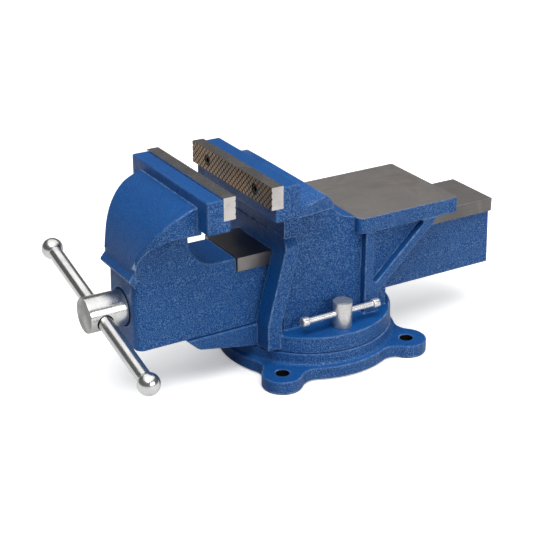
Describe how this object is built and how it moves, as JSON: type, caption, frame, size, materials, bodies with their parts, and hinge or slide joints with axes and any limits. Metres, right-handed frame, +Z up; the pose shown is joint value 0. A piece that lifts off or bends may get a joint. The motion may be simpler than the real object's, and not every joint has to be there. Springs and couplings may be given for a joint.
{
  "type": "bench vise",
  "caption": "Bench vise on a lockable swivel base, with serrated jaw plates, a sliding jaw driven by a screw and tommy bar, and a flat anvil behind the fixed jaw.",
  "frame": {"origin": "on the swivel axis, in the plane of the four lug feet that rest on the bench", "axes": "+Z up along the swivel axis, +X along the slide towards its rear end, +Y across the jaws"},
  "size_m": [0.443, 0.2264, 0.2034],
  "materials": {
    "base_enamel": "blue textured enamel on cast iron",
    "body_enamel": "blue textured enamel, machined bare on the anvil",
    "jaw_enamel": "blue textured enamel, machined bare on the slide's rail",
    "plate_steel": "ground, serrated and hardened",
    "black_screw": "black oxide",
    "screw_chrome": "turned and bright plated hub",
    "plain_steel": "zinc plated",
    "nut_iron": "machined cast iron",
    "handle_chrome": "bright chrome",
    "lock_steel": "turned"
  },
  "bodies": {
    "base": {"swivel_base": "base_enamel", "pivot_bolt": "plain_steel", "pivot_washer": "plain_steel", "pivot_nut": "plain_steel"},
    "body": {"body_casting": "body_enamel", "fixed_jaw_plate": "plate_steel", "fixed_plate_screws": "black_screw", "screw_nut": "nut_iron", "nut_bolts": "black_screw", "nut_washers": "plain_steel", "clamp_nut_near": "plain_steel", "clamp_nut_far": "plain_steel"},
    "jaw": {"moving_jaw": "jaw_enamel", "moving_jaw_plate": "plate_steel", "moving_plate_screws": "black_screw", "thrust_washer": "plain_steel"},
    "screw": {"lead_screw": "screw_chrome", "retaining_collar": "plain_steel", "collar_pin": "plain_steel"},
    "handle": {"handle_bar": "handle_chrome", "handle_ball_near": "handle_chrome", "handle_ball_far": "handle_chrome"},
    "lock_near": {"lock_bolt_near": "lock_steel"},
    "lock_far": {"lock_bolt_far": "lock_steel"},
    "lock_handle_near": {"lock_bar_near": "handle_chrome", "lock_bar_heads_near": "handle_chrome"},
    "lock_handle_far": {"lock_bar_far": "handle_chrome", "lock_bar_heads_far": "handle_chrome"}
  },
  "joints": [
    {"name": "swivel", "type": "hinge", "parent": "base", "child": "body", "pos_m": [0, 0, 0], "axis": [0, 0, 1], "continuous": true},
    {"name": "jaw_slide", "type": "slide", "parent": "body", "child": "jaw", "axis": [1, 0, 0], "range_m": [-0.1134, 0.0364]},
    {"name": "screw_turn", "type": "hinge", "parent": "jaw", "child": "screw", "pos_m": [0, 0, 0.085], "axis": [1, 0, 0], "range_deg": [-6798, 2178]},
    {"name": "handle_slide", "type": "slide", "parent": "screw", "child": "handle", "axis": [0, 0.9715, 0.2368], "range_m": [-0.08, 0.08]},
    {"name": "lock_turn_near", "type": "hinge", "parent": "body", "child": "lock_near", "pos_m": [0, -0.064, 0], "axis": [0, 0, 1], "range_deg": [-3.5, 3.5]},
    {"name": "lock_turn_far", "type": "hinge", "parent": "body", "child": "lock_far", "pos_m": [0, 0.064, 0], "axis": [0, 0, 1], "range_deg": [-3.5, 3.5]},
    {"name": "lock_slide_near", "type": "slide", "parent": "lock_near", "child": "lock_handle_near", "axis": [1, 0, 0], "range_m": [-0.0245, 0.0285]},
    {"name": "lock_slide_far", "type": "slide", "parent": "lock_far", "child": "lock_handle_far", "axis": [1, 0, 0], "range_m": [-0.0245, 0.0285]}
  ],
  "couplings": [
    {"joint": "jaw_slide", "follows": "screw_turn", "m_per_rad": 0.00095493}
  ]
}
